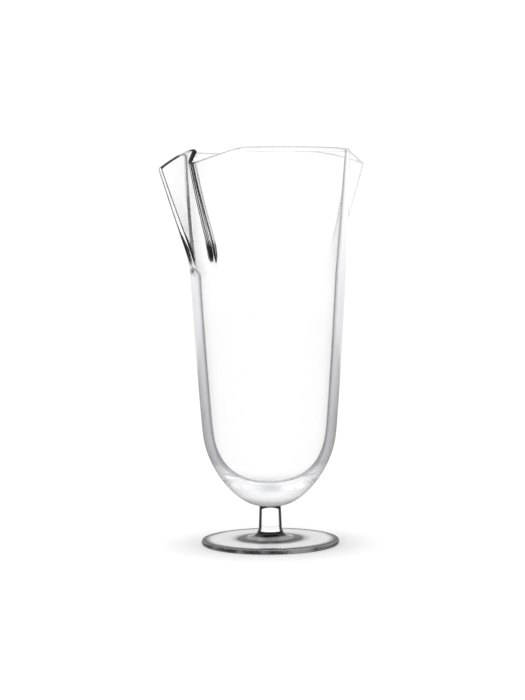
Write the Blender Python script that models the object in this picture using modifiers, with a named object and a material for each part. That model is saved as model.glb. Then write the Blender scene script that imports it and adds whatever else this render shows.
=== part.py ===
"""A footed mixing glass with two folded pouring spouts.

Three hot-joined pieces of clear glass stand on one axis: a flat foot, a short solid stem and a tall
thick-bottomed bowl. The top of the bowl's wall is folded outward twice, and each fold makes a pointed
spout with a plain near side. One spout's far side has a pleat, and the other's is a soft hollow. All
sizes are in metres, with +Z up and the origin at the middle of the foot's flat underside.
"""
import math
from collections import namedtuple

import bmesh
import bpy
from mathutils import Matrix, Vector

# Foot: a disc with a flat top, a rounded edge and a low flare up to the stem.
FOOT_RADIUS = 0.0400
FOOT_THICKNESS = 0.0030
FOOT_EDGE_ROUND = 0.0013
FOOT_HEIGHT = 0.0077
FLARE_RADIUS = 0.0216

# Stem: a short, slightly tapered rod with a small spread at its lower end.
STEM_LENGTH = 0.0141
STEM_TOP_RADIUS = 0.0062
STEM_LOW_RADIUS = 0.0067
STEM_SPREAD = 0.0006
STEM_SPREAD_HEIGHT = 0.0016

# Bowl: a rounded bottom, then a wall that widens to the rim with a slight belly.
# The reaches are how far each end of a rounded curve holds its direction.
BOWL_HEIGHT = 0.2053
BOTTOM_THICKNESS = 0.0111
BOTTOM_REACH = 0.0120
FLOOR_REACH = 0.0230
SHOULDER_HEIGHT = 0.0430
SHOULDER_RADIUS = 0.0388
LOW_WALL = 0.0051
SHOULDER_REACH = 0.0220
RIM_RADIUS = 0.0480
RIM_WALL = 0.0024
WALL_BELLY = 0.00095

# Spouts: each is folded out of the top of the wall. Angles are measured from the spout's own axis,
# with its far side positive, and a pair of angles is (at the fold's foot, at the rim).
FOLD_DEPTH = 0.0710
FOLD_WALL = 0.0016
TIP_WALL = 0.0011
BLEND_ANGLE = math.radians(62)
CREASE_ANGLES = (math.radians(-24), math.radians(-27))
END_ANGLE = math.radians(-42)
# A pleated far side: a flat lapel, the pleat's peak and the valley behind it.
PLEAT_RADIUS = 0.0535
PLEAT_DROP = 0.0085
PLEAT_FOOT = 0.10
VALLEY_RADIUS = 0.0482
LAPEL_ANGLES = (math.radians(35), math.radians(50))
PLEAT_ANGLES = (math.radians(27.6), math.radians(11.2))
VALLEY_ANGLES = (math.radians(24.4), math.radians(8.4))
# A soft far side: one wide hollow.
SOFT_ANGLES = (math.radians(30), math.radians(33))
# How soon each fold line leaves the round wall, how soon the facets are flat, and the arch of the rim.
TIP_GROWTH = 0.95
PLEAT_GROWTH = 0.4
FLAT_SHARE = 0.4
STRAIGHT = 1.0
TIP_ARCH = 1.5
# How far back from a fold line its rounding starts: tight and wide turns, and those of the far sides.
TIGHT_TURN = 0.0007
WIDE_TURN = 0.0015
PLEAT_TURN = 0.0042
LAPEL_TURN = 0.0060
SOFT_TURN = 0.0110
MOST_TURN = 0.45
# Each spout's direction, and its tip's radius and hang below the rim.
LEFT_DIRECTION = math.radians(201.5)
LEFT_TIP_RADIUS = 0.0660
LEFT_TIP_DROP = 0.0107
RIGHT_DIRECTION = math.radians(33.0)
RIGHT_TIP_RADIUS = 0.0688
RIGHT_TIP_DROP = 0.0065
# The left spout's far side has the pleat, and the right one's is soft.
Spout = namedtuple("Spout", "direction tip_radius tip_drop pleated")
SPOUTS = (
    Spout(LEFT_DIRECTION, LEFT_TIP_RADIUS, LEFT_TIP_DROP, True),
    Spout(RIGHT_DIRECTION, RIGHT_TIP_RADIUS, RIGHT_TIP_DROP, False),
)

# The welds are thin gaps, so that each piece stays a body of its own.
WELD_GAP = 0.0003

# How finely the round and folded shapes are divided.
TURN_STEPS = 48
CURVE_STEPS = 7
WALL_STEPS = 4
FOLD_STEPS = 9
CROWN_STEPS = 3
CORNER_STEPS = 3
ARC_STEP = math.radians(7.5)
SMOOTH_ANGLE = math.radians(40)
FACET_FINENESS = 1
LAPEL_STEPS = 4
CHEEK_STEPS = 3
SIDE_STEPS = 2
PLEAT_STEPS = 1

# Places that follow from the sizes above.
STEM_BASE = FOOT_HEIGHT + WELD_GAP
BOWL_BASE = STEM_BASE + STEM_LENGTH + WELD_GAP
SHOULDER_LEVEL = BOWL_BASE + SHOULDER_HEIGHT
RIM_LEVEL = BOWL_BASE + BOWL_HEIGHT
FOLD_LEVEL = RIM_LEVEL - FOLD_DEPTH
FLOOR_LEVEL = BOWL_BASE + BOTTOM_THICKNESS
FOOT_SEAT_RADIUS = STEM_LOW_RADIUS + STEM_SPREAD
CROWN_HEIGHT = RIM_WALL / 2

# A corner of a spout's cross-section: its place, its wall, its rim's drop, its two roundings, and how
# many steps the facet after it has and how its rim arches.
Corner = namedtuple("Corner", "radius angle wall drop turn other_turn steps arch")


def clear_scene():
    """Remove every object that is in the scene."""
    for old in list(bpy.data.objects):
        bpy.data.objects.remove(old, do_unlink=True)


def clear_glass(name, tint):
    """Return a clear glass with a faint tint."""
    material = bpy.data.materials.new(name)
    material.use_nodes = True
    shader = material.node_tree.nodes["Principled BSDF"]
    shader.inputs["Base Color"].default_value = (*tint, 1.0)
    shader.inputs["Roughness"].default_value = 0.01
    shader.inputs["Metallic"].default_value = 0.0
    shader.inputs["IOR"].default_value = 1.5
    shader.inputs["Transmission Weight"].default_value = 1.0
    return material


def between(start, end, share):
    """Return the number or point a share of the way from start to end."""
    return start + (end - start) * share


def polar(radius, angle):
    """Return the flat point at a radius and an angle."""
    return Vector((radius * math.cos(angle), radius * math.sin(angle)))


def quadratic(first, middle, last, share):
    """Return a point on the curve that leaves first towards middle and comes to last from there."""
    return between(between(first, middle, share), between(middle, last, share), share)


def cubic(controls, share):
    """Return a point on the cubic curve with these four control points."""
    early = quadratic(*controls[:3], share)
    late = quadratic(*controls[1:], share)
    return between(early, late, share)


def place_part(mesh, material, collection):
    """Put a mesh in the glass's collection as a part of the same name."""
    part = bpy.data.objects.new(mesh.name, mesh)
    mesh.materials.append(material)
    collection.objects.link(part)
    return part


def turned_part(name, profile, material, collection):
    """Turn an outline of (radius, height) points, given from top to bottom, about the Z axis."""
    mesh = bpy.data.meshes.new(name)
    points = [(radius, 0.0, height) for radius, height in profile]
    edges = [(index, index + 1) for index in range(len(points) - 1)]
    mesh.from_pydata(points, edges, [])
    part = place_part(mesh, material, collection)
    screw = part.modifiers.new("Turn", "SCREW")
    screw.axis = "Z"
    screw.angle = 2 * math.pi
    screw.steps = TURN_STEPS
    screw.render_steps = TURN_STEPS
    screw.use_merge_vertices = True
    screw.merge_threshold = 0.00001
    screw.use_smooth_shade = True
    return part


def foot_profile():
    """Return the foot's outline: the stem's seat, the flare, the flat top, the edge and the underside."""
    seat = Vector((FOOT_SEAT_RADIUS, FOOT_HEIGHT))
    flare_middle = Vector((FOOT_SEAT_RADIUS + STEM_SPREAD, FOOT_THICKNESS))
    flare_end = Vector((FLARE_RADIUS, FOOT_THICKNESS))
    profile = [(0.0, FOOT_HEIGHT)]
    for step in range(CURVE_STEPS + 1):
        profile.append(tuple(quadratic(seat, flare_middle, flare_end, step / CURVE_STEPS)))
    edge_radius = FOOT_RADIUS - FOOT_EDGE_ROUND
    for centre, start in ((FOOT_THICKNESS - FOOT_EDGE_ROUND, 90), (FOOT_EDGE_ROUND, 0)):
        for step in range(CORNER_STEPS + 1):
            turn = polar(FOOT_EDGE_ROUND, math.radians(start - 90 * step / CORNER_STEPS))
            profile.append((edge_radius + turn.x, centre + turn.y))
    profile.append((0.0, 0.0))
    return profile


def stem_profile():
    """Return the stem's outline, from the middle of its top to the middle of its lower end."""
    top = STEM_BASE + STEM_LENGTH
    spread_top = STEM_BASE + STEM_SPREAD_HEIGHT
    profile = [(0.0, top), (STEM_TOP_RADIUS, top), (STEM_LOW_RADIUS, spread_top)]
    for step in range(1, CORNER_STEPS + 1):
        share = step / CORNER_STEPS
        radius = STEM_LOW_RADIUS + STEM_SPREAD * share ** 2
        profile.append((radius, spread_top - STEM_SPREAD_HEIGHT * share))
    profile.append((0.0, STEM_BASE))
    return profile


def wall_share(height):
    """Return how far up the wall a height is, from 0 at the shoulder to 1 at the rim."""
    return (height - SHOULDER_LEVEL) / (RIM_LEVEL - SHOULDER_LEVEL)


def wall_thickness(height):
    """Return the thickness of the round wall at a height: even up to the folds, then thinner to the rim."""
    return between(LOW_WALL, RIM_WALL, max(0.0, height - FOLD_LEVEL) / FOLD_DEPTH)


def outer_radius(height):
    """Return the outer radius of the round wall at a height."""
    share = wall_share(height)
    return between(SHOULDER_RADIUS, RIM_RADIUS, share) + WALL_BELLY * 4 * share * (1 - share)


def inner_radius(height):
    """Return the inner radius of the round wall at a height."""
    return outer_radius(height) - wall_thickness(height)


def round_profile(radius_at, start, reach):
    """Return one surface's outline, from a start at the bottom up to the level where the folds start."""
    shoulder = Vector((radius_at(SHOULDER_LEVEL), SHOULDER_LEVEL))
    level = SHOULDER_LEVEL + SHOULDER_REACH
    along_wall = Vector((radius_at(level), level)) - shoulder
    controls = (start, start + Vector((reach, 0.0)), shoulder - along_wall, shoulder)
    profile = [cubic(controls, step / CURVE_STEPS) for step in range(CURVE_STEPS + 1)]
    for step in range(1, WALL_STEPS + 1):
        height = between(SHOULDER_LEVEL, FOLD_LEVEL, step / WALL_STEPS)
        profile.append(Vector((radius_at(height), height)))
    return profile


def far_corners(share, spout, radius, wall, fold_wall):
    """Return the outer corners of a spout's far side, at a share of the way up the fold."""
    if not spout.pleated:
        angle = between(*SOFT_ANGLES, share)
        return (Corner(radius, angle, wall, 0.0, SOFT_TURN, SOFT_TURN, LAPEL_STEPS, TIP_ARCH),)
    pleat_share = max(0.0, share - PLEAT_FOOT) / (1 - PLEAT_FOOT)
    pleat = radius + (PLEAT_RADIUS - RIM_RADIUS) * pleat_share ** PLEAT_GROWTH
    valley = radius + (VALLEY_RADIUS - RIM_RADIUS) * pleat_share
    lapel_angle = between(*LAPEL_ANGLES, share)
    pleat_angle = between(*PLEAT_ANGLES, share)
    valley_angle = between(*VALLEY_ANGLES, share)
    return (
        Corner(radius, lapel_angle, wall, 0.0, LAPEL_TURN, LAPEL_TURN, LAPEL_STEPS, STRAIGHT),
        Corner(pleat, pleat_angle, fold_wall, PLEAT_DROP, PLEAT_TURN, WIDE_TURN, PLEAT_STEPS, STRAIGHT),
        Corner(valley, valley_angle, fold_wall, 0.0, TIGHT_TURN, WIDE_TURN, CHEEK_STEPS, TIP_ARCH),
    )


def outer_corners(share, spout):
    """Return a spout's outer corners, at a share of the way up the fold.

    They run from the far side to the near side, and at share 0 all lie on the round wall.
    """
    height = between(FOLD_LEVEL, RIM_LEVEL, share)
    radius = outer_radius(height)
    wall = wall_thickness(height)
    fold_wall = between(wall, FOLD_WALL, share)
    tip_wall = between(wall, TIP_WALL, share)
    tip = radius + (spout.tip_radius - RIM_RADIUS) * share ** TIP_GROWTH
    crease_angle = between(*CREASE_ANGLES, share)
    return (
        Corner(radius, BLEND_ANGLE, wall, 0.0, 0.0, 0.0, SIDE_STEPS, STRAIGHT),
        *far_corners(share, spout, radius, wall, fold_wall),
        Corner(tip, 0.0, tip_wall, spout.tip_drop, WIDE_TURN, TIGHT_TURN, CHEEK_STEPS, STRAIGHT),
        Corner(radius, crease_angle, fold_wall, 0.0, TIGHT_TURN, WIDE_TURN, SIDE_STEPS, STRAIGHT),
        Corner(radius, END_ANGLE, wall, 0.0, 0.0, 0.0, 0, STRAIGHT),
    )


def inner_corners(corners, flatness):
    """Return the corners of the wall's inside: the outer corners moved in by the wall's thickness.

    On the round wall a corner moves straight in. Between flat facets it moves along the line that
    halves its angle, far enough to keep both facets' thickness.
    """
    points = [polar(corner.radius, corner.angle) for corner in corners]
    moved = []
    for index, corner in enumerate(corners):
        inward = -polar(corner.wall, corner.angle)
        if 0 < index < len(corners) - 1:
            before = (points[index - 1] - points[index]).normalized().orthogonal()
            after = (points[index] - points[index + 1]).normalized().orthogonal()
            mitre = (before + after) * (corner.wall / (1 + before.dot(after)))
            inward = inward.lerp(mitre, flatness)
        point = points[index] + inward
        moved.append(corner._replace(
            radius=point.length,
            angle=math.atan2(point.y, point.x),
            turn=corner.other_turn,
        ))
    return moved


def facet_point(start, end, share, flatness):
    """Return a point between two corners, with its rim's drop as its third number."""
    arc = polar(between(start.radius, end.radius, share), between(start.angle, end.angle, share))
    chord = polar(start.radius, start.angle).lerp(polar(end.radius, end.angle), share)
    drop = between(start.drop, end.drop, share ** start.arch)
    return Vector((*arc.lerp(chord, flatness), drop))


def facet_ends(start, end):
    """Return the shares along a facet at which the roundings of its two corners stop and start."""
    length = (polar(end.radius, end.angle) - polar(start.radius, start.angle)).length
    return min(start.turn / length, MOST_TURN), 1 - min(end.turn / length, MOST_TURN)


def spout_section(corners, flatness):
    """Return the points along one surface of a spout, with a rounding at each corner."""
    facets = []
    for start, end in zip(corners, corners[1:]):
        first, last = facet_ends(start, end)
        steps = start.steps * FACET_FINENESS
        shares = [between(first, last, step / steps) for step in range(steps + 1)]
        facets.append([facet_point(start, end, share, flatness) for share in shares])
    points = list(facets[0])
    for corner, facet in zip(corners[1:], facets[1:]):
        leave = points[-1]
        peak = Vector((*polar(corner.radius, corner.angle), corner.drop))
        for step in range(1, CORNER_STEPS):
            points.append(quadratic(leave, peak, facet[0], step / CORNER_STEPS))
        points.extend(facet)
    return points


def fold_ring(share, inside):
    """Return the closed ring of points round one surface, at a share of the way up the folds."""
    height = between(FOLD_LEVEL, RIM_LEVEL, share)
    radius = inner_radius(height) if inside else outer_radius(height)
    slope = min(share / FLAT_SHARE, 1.0)
    flatness = slope * slope * (3 - 2 * slope)
    ring = []
    for index, spout in enumerate(SPOUTS):
        corners = outer_corners(share, spout)
        if inside:
            corners = inner_corners(corners, flatness)
        turn = Matrix.Rotation(spout.direction, 3, "Z")
        ring.extend(turn @ point for point in spout_section(corners, flatness))
        start = spout.direction + END_ANGLE
        end = SPOUTS[(index + 1) % len(SPOUTS)].direction + BLEND_ANGLE
        span = (start - end) % (2 * math.pi)
        steps = round(span / ARC_STEP)
        for step in range(1, steps):
            ring.append(Vector((*polar(radius, start - span * step / steps), 0.0)))
    for point in ring:
        point.z = between(FOLD_LEVEL, RIM_LEVEL - CROWN_HEIGHT - point.z, share)
    return ring


def surface_rings(inside, start, reach):
    """Return one surface's rings from the bottom to the rim."""
    radius_at = inner_radius if inside else outer_radius
    angles = [math.atan2(point.y, point.x) for point in fold_ring(0.0, inside)]
    rings = []
    for radius, height in round_profile(radius_at, start, reach):
        rings.append([Vector((*polar(radius, angle), height)) for angle in angles])
    for step in range(1, FOLD_STEPS + 1):
        rings.append(fold_ring(step / FOLD_STEPS, inside))
    return rings


def rim_rings(outside, inside):
    """Return the rings of the rounded rim, between the tops of the two surfaces."""
    rings = []
    for step in range(1, CROWN_STEPS):
        turn = math.pi * step / CROWN_STEPS
        lift = Vector((0.0, 0.0, CROWN_HEIGHT * math.sin(turn)))
        share = (1 - math.cos(turn)) / 2
        rings.append([outer.lerp(inner, share) + lift for outer, inner in zip(outside, inside)])
    return rings


def bowl_mesh(name):
    """Loft the bowl: up the outside, over the rim and down the inside to the middle of the floor."""
    seat_middle = Vector((0.0, 0.0, BOWL_BASE))
    floor_middle = Vector((0.0, 0.0, FLOOR_LEVEL))
    outside = surface_rings(False, Vector((STEM_TOP_RADIUS, BOWL_BASE)), BOTTOM_REACH)
    inside = surface_rings(True, Vector((0.0, FLOOR_LEVEL)), FLOOR_REACH)[1:]
    rings = outside + rim_rings(outside[-1], inside[-1]) + inside[::-1]

    shape = bmesh.new()
    rows = [[shape.verts.new(point) for point in ring] for ring in rings]
    for middle, row in ((shape.verts.new(seat_middle), rows[0]), (shape.verts.new(floor_middle), rows[-1])):
        for index, vertex in enumerate(row):
            shape.faces.new((middle, vertex, row[index - 1]))
    for lower, upper in zip(rows, rows[1:]):
        for index in range(len(lower)):
            shape.faces.new((lower[index - 1], lower[index], upper[index], upper[index - 1]))
    bmesh.ops.recalc_face_normals(shape, faces=shape.faces)
    mesh = bpy.data.meshes.new(name)
    shape.to_mesh(mesh)
    shape.free()
    mesh.shade_smooth()
    mesh.set_sharp_from_angle(angle=SMOOTH_ANGLE)
    return mesh


def build():
    """Make the mixing glass."""
    clear_scene()
    glass = bpy.data.collections.new("mixing_glass")
    bpy.context.scene.collection.children.link(glass)
    turned_part("foot", foot_profile(), clear_glass("foot_glass", (0.97, 0.97, 0.98)), glass)
    turned_part("stem", stem_profile(), clear_glass("stem_glass", (0.98, 0.98, 0.98)), glass)
    place_part(bowl_mesh("bowl"), clear_glass("bowl_glass", (0.98, 0.98, 0.99)), glass)


build()
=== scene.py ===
# %% [markdown]
# # A mixing glass with two folded spouts
#
# A tall, heavy glass for stirring drinks stands on a short stem and a round foot. It is hand-worked clear
# glass: the bowl is blown, its rim is folded into two spouts while it is soft, and the stem and the foot
# are stuck on hot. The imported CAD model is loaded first. It fixes every place and size, so each piece that
# follows is made straight in its frame, in metres.

# %% Load the frame
import math
from collections import namedtuple

import bmesh
import bpy
from mathutils import Matrix, Vector


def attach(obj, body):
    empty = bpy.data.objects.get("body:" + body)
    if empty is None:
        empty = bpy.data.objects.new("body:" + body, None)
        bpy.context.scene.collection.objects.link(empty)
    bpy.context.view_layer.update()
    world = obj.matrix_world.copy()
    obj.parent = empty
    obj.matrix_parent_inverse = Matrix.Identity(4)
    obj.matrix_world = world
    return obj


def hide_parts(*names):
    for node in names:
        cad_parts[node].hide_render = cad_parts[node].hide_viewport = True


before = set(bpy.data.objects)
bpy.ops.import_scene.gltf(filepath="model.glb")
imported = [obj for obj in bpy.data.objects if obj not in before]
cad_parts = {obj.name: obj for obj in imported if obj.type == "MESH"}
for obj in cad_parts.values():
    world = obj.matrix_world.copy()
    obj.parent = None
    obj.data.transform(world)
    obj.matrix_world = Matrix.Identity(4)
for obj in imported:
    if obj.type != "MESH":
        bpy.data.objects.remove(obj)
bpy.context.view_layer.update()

scene = bpy.context.scene
scene.view_settings.view_transform = "Standard"

# %% [markdown]
# ## The camera
#
# The picture is 525 by 700 pixels, and the glass is seen from about a metre away, a little above the middle
# of its bowl. A long lens keeps the sides of the glass nearly parallel. The camera tips down by under four
# degrees, and its other small turns only set where the glass stands in the picture.

# %% Place the camera
CAMERA_PLACE = Vector((0.0, -1.08, 0.18))
CAMERA_PITCH = math.radians(3.566)
CAMERA_YAW = math.radians(0.19)
CAMERA_ROLL = math.radians(-0.55)
LENS_MM = 96.3


def new_object(name, data):
    """Return a new object in the scene with this data."""
    item = bpy.data.objects.new(name, data)
    scene.collection.objects.link(item)
    return item


camera_data = bpy.data.cameras.new("camera")
camera_data.lens = LENS_MM
camera = new_object("camera", camera_data)
tip_down = Matrix.Rotation(math.pi / 2 - CAMERA_PITCH, 4, "X")
turn_about = Matrix.Rotation(CAMERA_YAW, 4, "Z")
lean = Matrix.Rotation(CAMERA_ROLL, 4, "Z")
camera.matrix_world = Matrix.Translation(CAMERA_PLACE) @ turn_about @ tip_down @ lean
scene.camera = camera
print("Camera at", tuple(CAMERA_PLACE), "with a lens of", LENS_MM, "mm")

# %% [markdown]
# ## Curves for turned and folded glass
#
# Molten glass settles into smooth curves, so every outline here comes from a few control points. The
# helpers give even shares, points along lines and curves, a point at an angle, and a share that starts and
# stops gently. A Subdivision Surface modifier could smooth a rough cage too, but then the sizes of the CAD
# model would shrink, so the curves are evaluated directly.

# %% Helpers for curves
def shares(steps):
    """Return even shares from 0 to 1, so many steps in all."""
    return [step / steps for step in range(steps + 1)]


def between(start, end, share):
    """Return the number or point a share of the way from start to end."""
    return start + (end - start) * share


def polar(radius, angle):
    """Return the flat point at a radius and an angle."""
    return Vector((radius * math.cos(angle), radius * math.sin(angle)))


def quadratic(first, middle, last, share):
    """Return a point on the curve that leaves first towards middle and ends at last."""
    return between(between(first, middle, share), between(middle, last, share), share)


def cubic(controls, share):
    """Return a point on the cubic curve with these four control points."""
    early = quadratic(*controls[:3], share)
    late = quadratic(*controls[1:], share)
    return between(early, late, share)


def eased(share):
    """Return a share from 0 to 1 that starts and stops gently."""
    share = min(max(share, 0.0), 1.0)
    return share * share * (3 - 2 * share)


print("Even shares in four steps:", shares(4))

# %% [markdown]
# ## The foot
#
# The foot is a disc of glass, pressed flat while hot, with a rounded edge and a low flare where it was drawn
# up to the stem. Its outline is turned about the Z axis. The Screw modifier could turn it, but the piece also
# needs a face set apart at the weld, so rings of points are joined into faces here.

# %% Outline of the foot
FOOT_RADIUS = 0.0400
FOOT_THICKNESS = 0.0030
FOOT_EDGE_ROUND = 0.0013
FOOT_HEIGHT = 0.0077
FOOT_SEAT_RADIUS = 0.0073
FLARE_START = 0.0079
FLARE_RADIUS = 0.0216
CURVE_STEPS = 32
EDGE_STEPS = 8

seat = Vector((FOOT_SEAT_RADIUS, FOOT_HEIGHT))
flare_middle = Vector((FLARE_START, FOOT_THICKNESS))
flare_end = Vector((FLARE_RADIUS, FOOT_THICKNESS))
foot_profile = [quadratic(seat, flare_middle, flare_end, share) for share in shares(CURVE_STEPS)]
edge_radius = FOOT_RADIUS - FOOT_EDGE_ROUND
for share in (0.25, 0.5, 0.75):
    foot_profile.append(Vector((between(FLARE_RADIUS, edge_radius, share), FOOT_THICKNESS)))
for level, start in ((FOOT_THICKNESS - FOOT_EDGE_ROUND, 90), (FOOT_EDGE_ROUND, 0)):
    for share in shares(EDGE_STEPS):
        turn = polar(FOOT_EDGE_ROUND, math.radians(start - 90 * share))
        foot_profile.append(Vector((edge_radius, level)) + turn)
foot_profile.append(Vector((FLARE_RADIUS, 0.0)))
print("Foot outline of", len(foot_profile), "points")

# %% [markdown]
# ## Joining rings into a skin
#
# Every piece of the glass is a stack of rings with a lid at each end. One helper joins neighbouring rings
# with four-sided faces and closes both ends with a fan of triangles round a middle point. It also stores
# named layers of numbers, one per point, which the glass material reads later as attributes.

# %% Helper that skins rings
SMOOTH_ANGLE = math.radians(40)


def skinned_mesh(name, rings, ends, layers):
    """Return a closed mesh through rings, with lids at two heights and layers of point values."""
    shape = bmesh.new()
    keys = {layer: shape.verts.layers.float.new(layer) for layer in layers}
    rows = []
    for row_index, ring in enumerate(rings):
        row = [shape.verts.new(point) for point in ring]
        for layer, key in keys.items():
            for vertex, value in zip(row, layers[layer][row_index]):
                vertex[key] = value
        rows.append(row)
    for end, row in zip(ends, (rows[0], rows[-1])):
        middle = shape.verts.new((0.0, 0.0, end))
        for key in keys.values():
            middle[key] = row[0][key]
        for index, vertex in enumerate(row):
            shape.faces.new((middle, vertex, row[index - 1]))
    for lower, upper in zip(rows, rows[1:]):
        for index in range(len(lower)):
            shape.faces.new((lower[index - 1], lower[index], upper[index], upper[index - 1]))
    bmesh.ops.recalc_face_normals(shape, faces=shape.faces)
    mesh = bpy.data.meshes.new(name)
    shape.to_mesh(mesh)
    shape.free()
    mesh.shade_smooth()
    mesh.set_sharp_from_angle(angle=SMOOTH_ANGLE)
    return mesh


# %% Helper that turns an outline
TURN_STEPS = 128


def round_ring(radius, height, angles):
    """Return the points at these angles on a circle about the Z axis."""
    return [Vector((*polar(radius, angle), height)) for angle in angles]


def turned_mesh(name, profile):
    """Turn an outline of (radius, height) points about the Z axis."""
    angles = [2 * math.pi * share for share in shares(TURN_STEPS)[:-1]]
    rings = [round_ring(radius, height, angles) for radius, height in profile]
    return skinned_mesh(name, rings, (profile[0].y, profile[-1].y), {})


foot_mesh = turned_mesh("foot_disc", foot_profile)
print("Foot of", len(foot_mesh.polygons), "faces")

# %% [markdown]
# ## The stem
#
# The stem is a short solid rod, a little wider at its foot, where it spread as it was pressed on. In the CAD
# model a gap of 0.3 mm at each end keeps the pieces apart. Here the rod reaches right down to the foot, as
# the welded glass does. Under the bowl a sliver of 0.02 mm stays open, too thin to see, so that the skins of
# rod and bowl never share a face.

# %% The stem
STEM_TOP_LEVEL = 0.02238
STEM_TOP_RADIUS = 0.0062
STEM_LOW_RADIUS = 0.0067
STEM_SPREAD_LEVEL = 0.0096

top = Vector((STEM_TOP_RADIUS, STEM_TOP_LEVEL))
waist = Vector((STEM_LOW_RADIUS, STEM_SPREAD_LEVEL))
stem_profile = [between(top, waist, share) for share in shares(EDGE_STEPS)]
for share in shares(EDGE_STEPS)[1:]:
    radius = between(STEM_LOW_RADIUS, FOOT_SEAT_RADIUS, share * share)
    stem_profile.append(Vector((radius, between(STEM_SPREAD_LEVEL, FOOT_HEIGHT, share))))
stem_mesh = turned_mesh("stem_rod", stem_profile)
print("Stem of", len(stem_mesh.polygons), "faces")

# %% [markdown]
# ## The bowl's round wall
#
# The bowl was blown: its bottom stayed thick, and its wall is an even 5.1 mm up to the folds and thins to
# 2.4 mm at the rim, with a faint belly. Small functions give the wall's thickness and both its radii at any
# height. The rounded bottom is a cubic curve that runs into the wall, and a few passes of averaging take out
# the sudden change of curvature where the two meet, because clear glass shows such a change as a line.

# %% Wall and bottom
BOWL_BASE = 0.0224
RIM_LEVEL = 0.2277
SHOULDER_LEVEL = 0.0654
INNER_SHOULDER = 0.0720
FLOOR_LEVEL = 0.0335
BOTTOM_REACH = 0.0120
FLOOR_REACH = 0.0275
SHOULDER_REACH = 0.0220
SHOULDER_RADIUS = 0.0388
LOW_WALL = 0.0051
RIM_RADIUS = 0.0480
RIM_WALL = 0.0024
WALL_BELLY = 0.00095
FOLD_DEPTH = 0.0710
FOLD_LEVEL = RIM_LEVEL - FOLD_DEPTH
WALL_STEPS = 14
SMOOTHING_PASSES = 5


def wall_thickness(height):
    """Return the thickness of the round wall at a height: even, and thinner towards the rim."""
    return between(LOW_WALL, RIM_WALL, max(0.0, height - FOLD_LEVEL) / FOLD_DEPTH)


def outer_radius(height):
    """Return the outer radius of the round wall at a height."""
    share = (height - SHOULDER_LEVEL) / (RIM_LEVEL - SHOULDER_LEVEL)
    return between(SHOULDER_RADIUS, RIM_RADIUS, share) + WALL_BELLY * 4 * share * (1 - share)


def inner_radius(height):
    """Return the inner radius of the round wall at a height."""
    return outer_radius(height) - wall_thickness(height)


def round_profile(radius_at, start, reach, shoulder_level):
    """Return one surface's outline, from a start at the bottom up to the foot of the folds."""
    shoulder = Vector((radius_at(shoulder_level), shoulder_level))
    level = shoulder_level + SHOULDER_REACH
    along_wall = Vector((radius_at(level), level)) - shoulder
    controls = (start, start + Vector((reach, 0.0)), shoulder - along_wall, shoulder)
    profile = [cubic(controls, share) for share in shares(CURVE_STEPS)]
    for share in shares(WALL_STEPS)[1:]:
        height = between(shoulder_level, FOLD_LEVEL, share)
        profile.append(Vector((radius_at(height), height)))
    for _ in range(SMOOTHING_PASSES):
        neighbours = zip(profile, profile[1:], profile[2:])
        profile[1:-1] = [(before + 2 * here + after) / 4 for before, here, after in neighbours]
    return profile


bowl_start = Vector((STEM_TOP_RADIUS, BOWL_BASE))
floor_start = Vector((0.0, FLOOR_LEVEL))
outer_outline = round_profile(outer_radius, bowl_start, BOTTOM_REACH, SHOULDER_LEVEL)
inner_outline = round_profile(inner_radius, floor_start, FLOOR_REACH, INNER_SHOULDER)
print("Round rim", 2000 * RIM_RADIUS, "mm wide")

# %% [markdown]
# ## The folded spouts
#
# While the rim was soft it was pulled out and folded flat, so each spout has plain facets that meet in
# creases. The left spout also has a pleat, a narrow step where the glass was pinched over itself, and the
# right one has a soft hollow on its far side. A spout's cross-section is a row of corners. Each corner keeps
# its place, its wall, how far its rim hangs, its roundings, and the steps and the arch of the facet after it.
# Five more values are painted shade: how dark the fold line is painted, how broad that line shows on each
# side, how dark the rim is painted there and how far along that goes.

# %% Corners of a spout
BLEND_ANGLE = math.radians(62)
CREASE_ANGLES = (math.radians(-24), math.radians(-27))
END_ANGLE = math.radians(-42)
LAPEL_ANGLES = (math.radians(35), math.radians(50))
PLEAT_ANGLES = (math.radians(27.6), math.radians(11.2))
VALLEY_ANGLES = (math.radians(24.4), math.radians(8.4))
SOFT_ANGLES = (math.radians(30), math.radians(33))
FOLD_WALL = 0.0016
TIP_WALL = 0.0011
PLEAT_RADIUS = 0.0535
VALLEY_RADIUS = 0.0482
PLEAT_DROP = 0.0085
PLEAT_FOOT = 0.10
TIP_GROWTH = 0.95
PLEAT_GROWTH = 0.4
TIP_ARCH = 1.5
STRAIGHT = 1.0
TIGHT_TURN = 0.0007
WIDE_TURN = 0.0015
PLEAT_TURN = 0.0042
LAPEL_TURN = 0.0060
SOFT_TURN = 0.0110
LAPEL_STEPS = 16
CHEEK_STEPS = 12
SIDE_STEPS = 8
PLEAT_STEPS = 4

Spout = namedtuple("Spout", "direction tip_radius tip_drop pleated")
# The last five fields of a corner are painted shade: the fold line's darkness, its widths before and after,
# the rim's darkness and how far that reaches.
Corner = namedtuple(
    "Corner",
    "radius angle wall drop turn other_turn steps arch line before after crown rim_reach",
)
SPOUTS = (
    Spout(direction=math.radians(201.5), tip_radius=0.0660, tip_drop=0.0107, pleated=True),
    Spout(direction=math.radians(33.0), tip_radius=0.0688, tip_drop=0.0065, pleated=False),
)
print("Spout tips at", [1000 * spout.tip_radius for spout in SPOUTS], "mm from the axis")
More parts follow.
